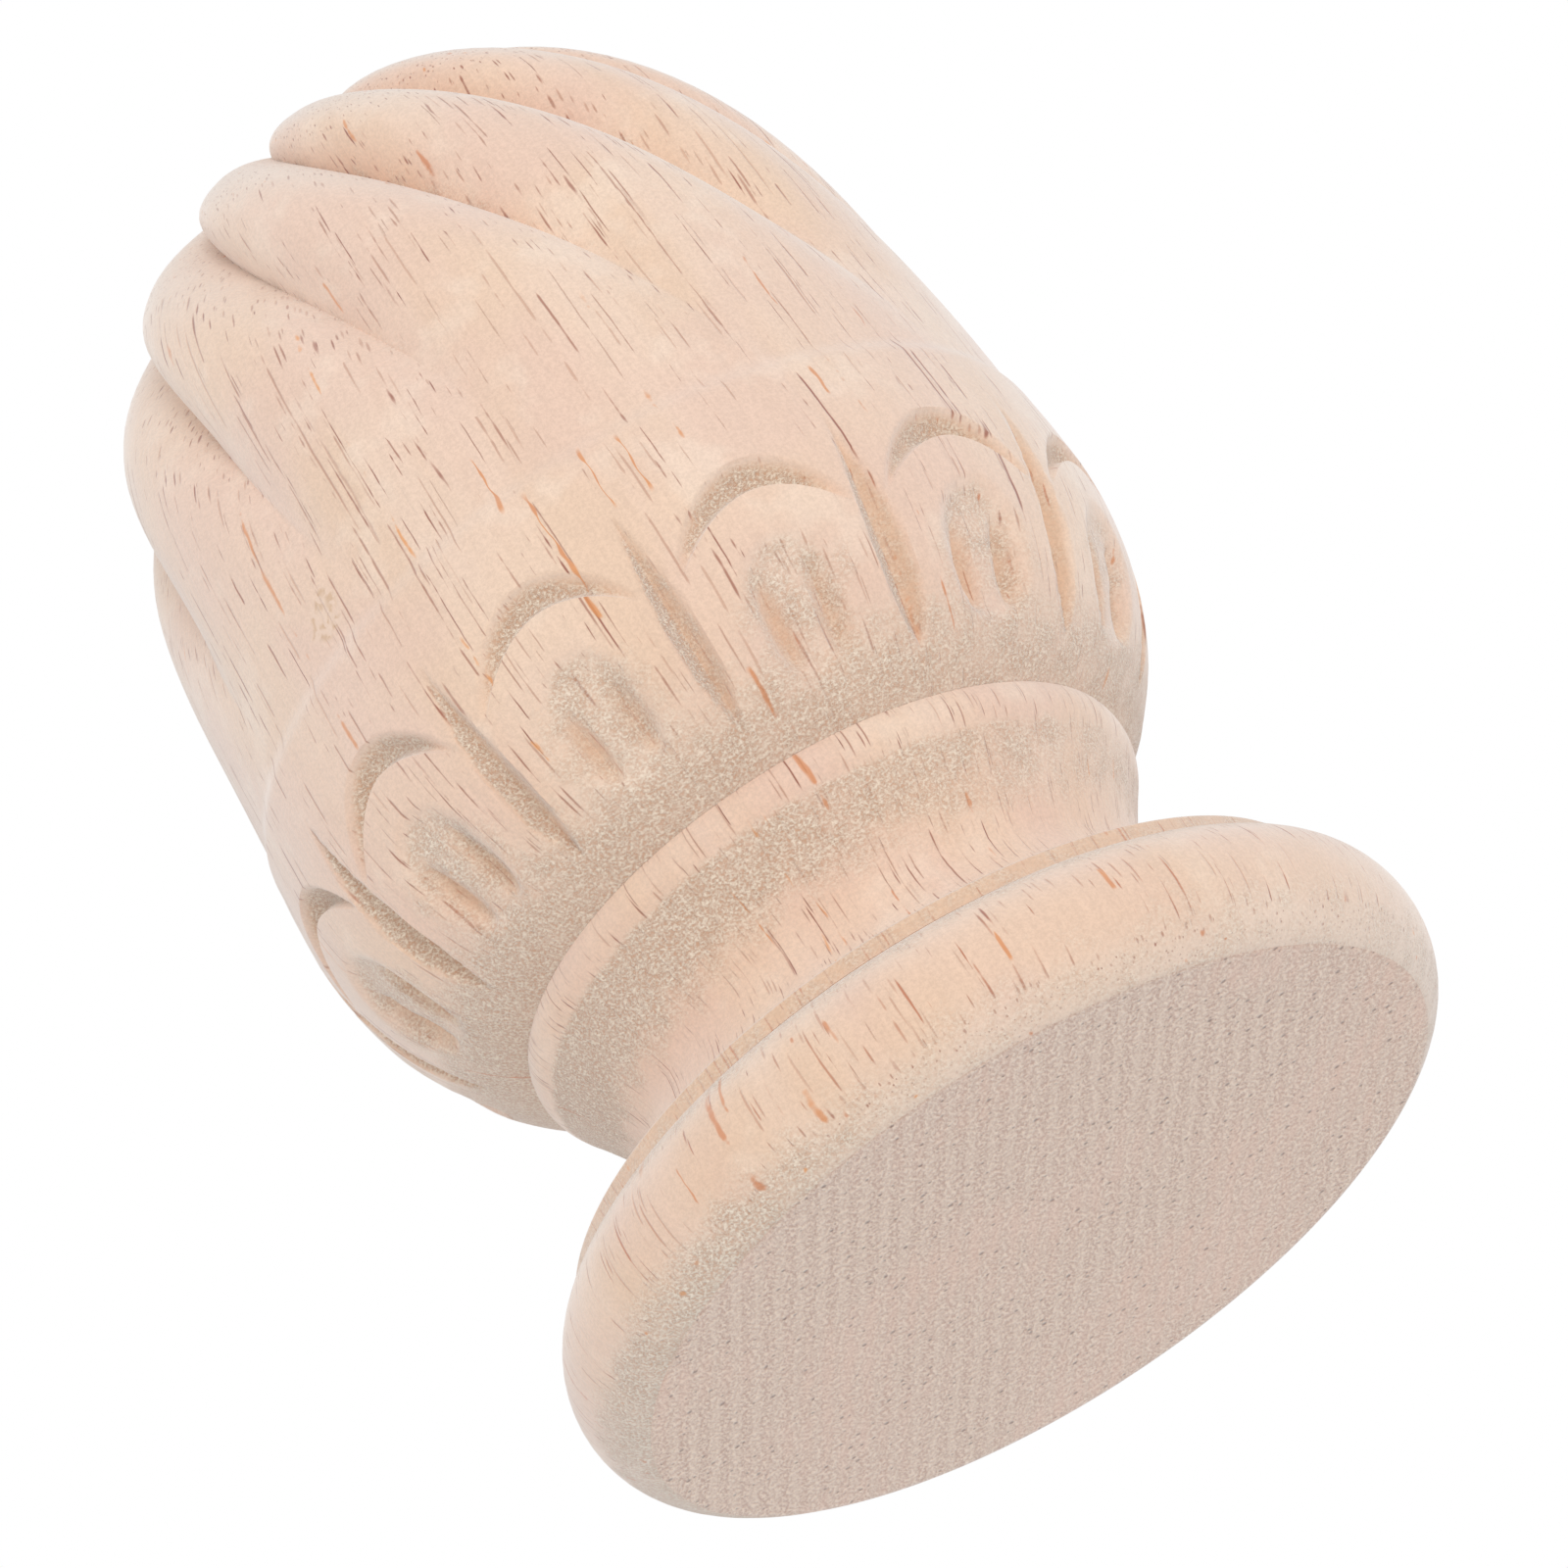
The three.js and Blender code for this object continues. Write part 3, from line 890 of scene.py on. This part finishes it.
endTear = {"Stretch": (1.0, 0.5, 1.0), "Crumb": 0.13, "Patchiness": 0.5}
sawMarks = {"Across": (0.959, 0.284, 0.0), "Pitch": 1.67}

# Vessels filled with resin: degrees round the axis, middle height, half length, width
resinStreaks = [
    (-93.2, 50.5, 5.0, 0.42),
    (-96.4, 57.5, 3.0, 0.4),
    (-84.8, 53.0, 3.2, 0.3),
    (-79.9, 52.5, 3.0, 0.3),
    (-93.6, 44.6, 1.2, 0.5),
    (-52.8, 53.3, 1.6, 0.4),
    (-76.0, 5.5, 1.4, 0.3),
    (-61.0, 7.0, 1.2, 0.35),
]
knotPlace = (-125.2, 59.0, 2.0)  # degrees round the axis, height, size


def startMaterial(name):
    material = bpy.data.materials.new(name)
    material.use_nodes = True
    tree = material.node_tree
    shader = tree.nodes["Principled BSDF"]
    shader.inputs["Specular IOR Level"].default_value = wood.gloss
    shader.inputs["Sheen Weight"].default_value = wood.sheen
    shader.inputs["Sheen Roughness"].default_value = wood.sheenSpread
    coordinates = tree.nodes.new("ShaderNodeTexCoord")
    place = move(tree, "MULTIPLY", coordinates.outputs["Object"], (1 / mm, 1 / mm, 1 / mm))
    return material, tree, shader, place


# The grain coordinates that the mesh carries, in millimetres
def grainPlace(tree):
    node = tree.nodes.new("ShaderNodeAttribute")
    node.attribute_name = "grain"
    return node.outputs["Vector"]


def meshValue(tree, name):
    node = tree.nodes.new("ShaderNodeAttribute")
    node.attribute_name = name
    return node.outputs["Fac"]


# Puts the open vessels of both sizes over a colour
def paintPores(tree, grain, colour, deepTone, strength):
    slow = move(tree, "MULTIPLY", grain, (0.12, 0.12, 0.03))
    crowd = fade(tree, noise(tree, slow, 1.0, 2.0)["Fac"], 0.35, 0.65)
    sparsest = poreSizes["sparsest"]
    crowd = scaleAdd(tree, crowd, 1 - sparsest, sparsest)
    share = times(tree, poreSizes["share"], crowd)
    fine = useGroup(tree, poreGroup, Place=grain, Radius=poreSizes["radius"], Share=share, **finePores)
    shifted = move(tree, "ADD", grain, (31.7, 12.3, 0.0))
    wideRadius = poreSizes["radius"] * poreSizes["wideRadius"]
    wideShare = times(tree, share, poreSizes["wideShare"])
    wide = useGroup(tree, poreGroup, Place=shifted, Radius=wideRadius, Share=wideShare, **widePores)
    tint = calc(tree, "POWER", fine["Tint"], poreSizes["tintPower"])
    fineColour = mixColours(tree, tint, wood.poreFaint, deepTone)
    faintest = poreSizes["faintest"]
    fineStrength = times(tree, scaleAdd(tree, tint, 1 - faintest, faintest), strength)
    wideStrength = times(tree, wide["Tint"], strength)
    colour = mixColours(tree, times(tree, fine["Pore"], fineStrength), colour, fineColour)
    colour = mixColours(tree, times(tree, wide["Pore"], wideStrength), colour, deepTone)
    return colour, calc(tree, "MAXIMUM", fine["Pore"], wide["Pore"])


# Lays a tone over a colour, as strongly as the pattern and the named share say
def layOver(tree, pattern, shareName, colour, tone):
    return mixColours(tree, times(tree, pattern, woodLook[shareName]), colour, tone)


# The few vessels on the belly, petals and ring that resin has filled
def paintResin(tree, place, colour):
    for turn, level, reach, width in resinStreaks:
        streak = useGroup(tree, resinGroup, Place=place, Turn=math.radians(turn), Level=level,
                          Reach=reach, Width=width)
        depth = noise(tree, place, 0.5, 2.0)["Fac"]
        tone = mixColours(tree, depth, wood.resin, wood.resinDeep)
        colour = layOver(tree, streak["Mask"], "resinShare", colour, tone)
    return colour


# Makes a colour lighter and darker with a pattern, by an amount in all
def shadeBy(tree, colour, pattern, amount):
    grey = tree.nodes.new("ShaderNodeCombineColor")
    shade = scaleAdd(tree, pattern, amount, 1 - amount / 2)
    for socket in grey.inputs:
        feed(tree, shade, socket)
    return mixColours(tree, 1.0, colour, grey.outputs[0], "MULTIPLY")


def raiseSurface(tree, shader, height):
    bump = tree.nodes.new("ShaderNodeBump")
    bump.inputs["Distance"].default_value = mm
    feed(tree, height, bump.inputs["Height"])
    feed(tree, bump.outputs[0], shader.inputs["Normal"])


# Height of the torn crumb
def tornHeight(tree, torn, relief):
    return times(tree, times(tree, torn["Mask"], torn["Speckle"]), relief)


# The one small knot, as broken rings in the side's wood
def paintKnot(tree, place, colour):
    turn, level, size = knotPlace
    knotAngle = math.radians(turn)
    knotRadius = float(bodyRadius(level))
    middle = (knotRadius * math.cos(knotAngle), knotRadius * math.sin(knotAngle), level)
    knot = useGroup(tree, knotGroup, Place=place, Middle=middle, Size=size)
    broken = fade(tree, noise(tree, place, 1.6, 2.0)["Fac"], 0.42, 0.58)
    ring = times(tree, knot["Ring"], broken)
    tone = mixColours(tree, ring, wood.light, wood.knotRing)
    return layOver(tree, knot["Mask"], "knotShare", colour, tone)


# Ground of the side's wood: slow changes of tone, woolly patches, slopes, and the tan of cut floors
# and the ring's shoulder, which is partly the wood's warmer tone and partly painted shade
def paintGround(tree, place, fibres, steep, warm):
    colour = mixColours(tree, fibres["Growth"], wood.light, wood.warm)
    colour = layOver(tree, fibres["Patch"], "pinkShare", colour, wood.pink)
    glow = fade(tree, noise(tree, place, 0.085, 1.0)["Fac"], 0.5, 0.68)
    colour = layOver(tree, glow, "glowShare", colour, wood.glow)
    shifted = move(tree, "ADD", place, (3.0, 41.0, 5.0))
    woolly = fade(tree, noise(tree, shifted, 0.13, 3.0, 0.6)["Fac"], 0.52, 0.66)
    colour = layOver(tree, woolly, "woolShare", colour, wood.wool)
    slant = fade(tree, steep, 0.35, 0.85, 0.0, wood.slantShare)
    colour = mixColours(tree, slant, colour, wood.slant)
    # Painted shade in part: the tan laid into the cut floors and over the ring's shoulder
    return layOver(tree, warm, "tanAndShadeShare", colour, wood.tan)


def makeSideWood():
    material, tree, shader, place = startMaterial("bare pale wood")
    grain = grainPlace(tree)
    steep = meshValue(tree, "steep")
    warm = meshValue(tree, "warm")
    fibres = useGroup(tree, fibreGroup, Place=grain, Fineness=1.0)
    colour = paintGround(tree, place, fibres, steep, warm)
    colour = shadeBy(tree, colour, fibres["Fibre"], wood.fibreShade)
    powder = noise(tree, place, 3.6, 3.0, 0.8)["Fac"]
    colour = shadeBy(tree, colour, fade(tree, powder, 0.36, 0.64), wood.powderShade)
    strength = fade(tree, steep, 0.5, 0.95, 1.0, 0.4)
    ruddy = calc(tree, "MINIMUM", times(tree, warm, 2.5), 1.0)
    deepTone = mixColours(tree, ruddy, wood.poreDeep, wood.resinDeep)
    colour, pore = paintPores(tree, grain, colour, deepTone, strength)
    colour = paintKnot(tree, place, colour)

    torn = useGroup(tree, tornGroup, Place=place, Amount=meshValue(tree, "torn"), **sideTear)
    # The crumb's deep tone is partly painted shade between the raised ends, partly the torn fibres' own
    crumb = mixColours(tree, torn["Speckle"], wood.tornDeep, wood.tornPale)
    colour = layOver(tree, torn["Mask"], "tornShare", colour, crumb)
    shifted = move(tree, "ADD", grain, (7.7, 52.3, 9.0))
    flecks = useGroup(tree, poreGroup, Place=shifted, **resinFlecks)
    fleckTone = mixColours(tree, flecks["Tint"], wood.resin, wood.resinDeep)
    colour = layOver(tree, flecks["Pore"], "fleckShare", colour, fleckTone)
    colour = paintResin(tree, place, colour)
    feed(tree, colour, shader.inputs["Base Color"])
    rough = scaleAdd(tree, torn["Mask"], wood.tornRoughness, wood.roughness)
    feed(tree, rough, shader.inputs["Roughness"])

    height = tornHeight(tree, torn, wood.tornRelief)
    height = scaleAdd(tree, pore, -wood.poreRelief, height)
    height = scaleAdd(tree, fibres["Fibre"], wood.fibreRelief, height)
    height = scaleAdd(tree, powder, wood.powderRelief, height)
    raiseSurface(tree, shader, height)
    spreadNodes(tree)
    return material


def makeEndWood():
    material, tree, shader, place = startMaterial("sawn end grain")
    grain = grainPlace(tree)
    fibres = useGroup(tree, fibreGroup, Place=grain, Fineness=1.0)
    colour = layOver(tree, fibres["Growth"], "endPinkShare", wood.endGrain, wood.pink)
    saw = useGroup(tree, sawGroup, Place=place, **sawMarks)
    shifted = move(tree, "ADD", place, (14.0, 9.0, 0.0))
    zone = fade(tree, noise(tree, shifted, 0.05, 2.0)["Fac"], 0.35, 0.62)
    rowAmount = scaleAdd(tree, saw["Row"], 0.2, 0.45)
    amount = scaleAdd(tree, zone, 0.35, rowAmount)
    torn = useGroup(tree, tornGroup, Place=place, Amount=amount, **endTear)
    # The crumb's deep tone is partly painted shade between the raised ends of the sawn grain
    crumb = mixColours(tree, torn["Speckle"], wood.endDeep, wood.endPale)
    strength = scaleAdd(tree, torn["Mask"], 0.7, 0.2)
    rowTone = fade(tree, saw["Row"], 0.3, 0.95, 0.0, wood.rowShare)
    rowTone = times(tree, rowTone, scaleAdd(tree, zone, 0.7, 0.3))
    colour = mixColours(tree, strength, colour, crumb)
    colour = mixColours(tree, rowTone, colour, wood.endPale)
    pore = useGroup(tree, poreGroup, Place=grain, **endDots)["Pore"]
    colour = layOver(tree, pore, "dotShare", colour, wood.poreDark)
    feed(tree, colour, shader.inputs["Base Color"])
    shader.inputs["Roughness"].default_value = wood.endRoughness
    height = tornHeight(tree, torn, wood.endTornRelief)
    height = scaleAdd(tree, pore, -wood.poreRelief, height)
    raiseSurface(tree, shader, height)
    spreadNodes(tree)
    return material


points, grain, fields, footRows = carveFinial()
mesh = skinMesh("carved finial", points, grain, fields)
carved = bpy.data.objects.new("carved_finial", mesh)
bpy.context.scene.collection.objects.link(carved)
mesh.materials.append(makeSideWood())
mesh.materials.append(makeEndWood())
columnCount = points.shape[1]
flatRows = int((points[:footRows, 0, 2] <= 0).sum()) - 1
underside = np.zeros(len(mesh.polygons), dtype=np.int32)
underside[:flatRows * columnCount] = 1
underside[(len(points) - 1) * columnCount:len(points) * columnCount] = 1
mesh.polygons.foreach_set("material_index", underside)
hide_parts("finial")
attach(carved, "root")
triangles = sum(len(face.vertices) - 2 for face in mesh.polygons)
print("carved finial:", triangles, "triangles")


# Floor, light and camera, in metres and watts
studio = {
    "floorWidth": 3.0,
    "floorDrop": 0.0003,
    "floorColour": srgb(236, 234, 230),
    "surround": 0.8,
    "keyFrom": (0.26, -0.95, 0.12),
    "keyDistance": 1.5,
    "keySize": 0.6,
    "keyPower": 5.0,
    "cameraDrop": 0.467431,      # radians below the finial's own level
    "cameraRoll": -0.581824,     # radians
    "cameraDistance": 0.588235,
    "cameraHeight": 0.05,        # the height on the axis that it was measured from
    "framePixels": 1600,
    "focalPixels": 8157.1,
    "aimRight": 87.93,           # pixels from that point to the frame's centre
    "aimDown": 74.47,
    "sensorWidth": 36.0,
}


def makeFloor():
    half = studio["floorWidth"] / 2
    corners = [(-half, -half, 0), (half, -half, 0), (half, half, 0), (-half, half, 0)]
    floorMesh = bpy.data.meshes.new("floor")
    floorMesh.from_pydata(corners, [], [(0, 1, 2, 3)])
    floor = bpy.data.objects.new("floor", floorMesh)
    floor.location.z = -studio["floorDrop"]
    bpy.context.scene.collection.objects.link(floor)
    material = bpy.data.materials.new("pale floor")
    material.use_nodes = True
    tree = material.node_tree
    shader = tree.nodes["Principled BSDF"]
    shader.inputs["Base Color"].default_value = studio["floorColour"]
    shader.inputs["Roughness"].default_value = 0.8
    geometry = tree.nodes.new("ShaderNodeNewGeometry")
    coordinates = tree.nodes.new("ShaderNodeTexCoord")
    reach = tree.nodes.new("ShaderNodeVectorMath")
    reach.operation = "LENGTH"
    feed(tree, coordinates.outputs["Object"], reach.inputs[0])
    near = fade(tree, reach.outputs["Value"], half, half * 0.4)
    above = calc(tree, "SUBTRACT", 1.0, geometry.outputs["Backfacing"])
    feed(tree, times(tree, near, above), shader.inputs["Alpha"])
    spreadNodes(tree)
    floorMesh.materials.append(material)
    floor.visible_diffuse = False
    floor.visible_glossy = False
    floor.visible_shadow = False
    return floor


def makeWorld():
    world = bpy.data.worlds.new("white room")
    bpy.context.scene.world = world
    world.use_nodes = True
    tree = world.node_tree
    background = tree.nodes["Background"]
    background.inputs["Color"].default_value = (1.0, 1.0, 1.0, 1.0)
    path = tree.nodes.new("ShaderNodeLightPath")
    strength = fade(tree, path.outputs["Is Camera Ray"], 0.0, 1.0, studio["surround"], 1.0)
    feed(tree, strength, background.inputs["Strength"])
    spreadNodes(tree)


def makeLamp(name, direction, distance, size, power):
    lamp = bpy.data.lights.new(name, "AREA")
    lamp.shape = "SQUARE"
    lamp.size = size
    lamp.energy = power
    lampObject = bpy.data.objects.new(name, lamp)
    bpy.context.scene.collection.objects.link(lampObject)
    away = Vector(direction).normalized()
    middle = Vector((0, 0, studio["cameraHeight"]))
    lampObject.location = middle + away * distance
    lampObject.rotation_euler = away.to_track_quat("Z", "Y").to_euler()
    return lampObject


def makeCamera():
    drop = studio["cameraDrop"]
    roll = studio["cameraRoll"]
    ahead = Vector((0, math.cos(drop), math.sin(drop)))
    level = Vector((1, 0, 0))
    rise = Vector((0, -math.sin(drop), math.cos(drop)))
    right = math.cos(roll) * level + math.sin(roll) * rise
    up = math.cos(roll) * rise - math.sin(roll) * level
    middle = Vector((0, 0, studio["cameraHeight"]))
    place = middle - ahead * studio["cameraDistance"]
    aim = ahead * studio["focalPixels"] + right * studio["aimRight"] - up * studio["aimDown"]
    aim.normalize()
    right = (right - aim * right.dot(aim)).normalized()
    up = right.cross(aim)
    data = bpy.data.cameras.new("camera")
    data.sensor_width = studio["sensorWidth"]
    data.lens = studio["focalPixels"] / studio["framePixels"] * studio["sensorWidth"]
    data.clip_start = 0.01
    camera = bpy.data.objects.new("camera", data)
    turned = Matrix((right, up, -aim)).transposed()
    camera.matrix_world = Matrix.Translation(place) @ turned.to_4x4()
    bpy.context.scene.collection.objects.link(camera)
    bpy.context.scene.camera = camera


makeFloor()
makeWorld()
makeLamp("key lamp", studio["keyFrom"], studio["keyDistance"], studio["keySize"], studio["keyPower"])
makeCamera()
bpy.context.scene.view_settings.view_transform = "Standard"
print("floor, light and camera placed")
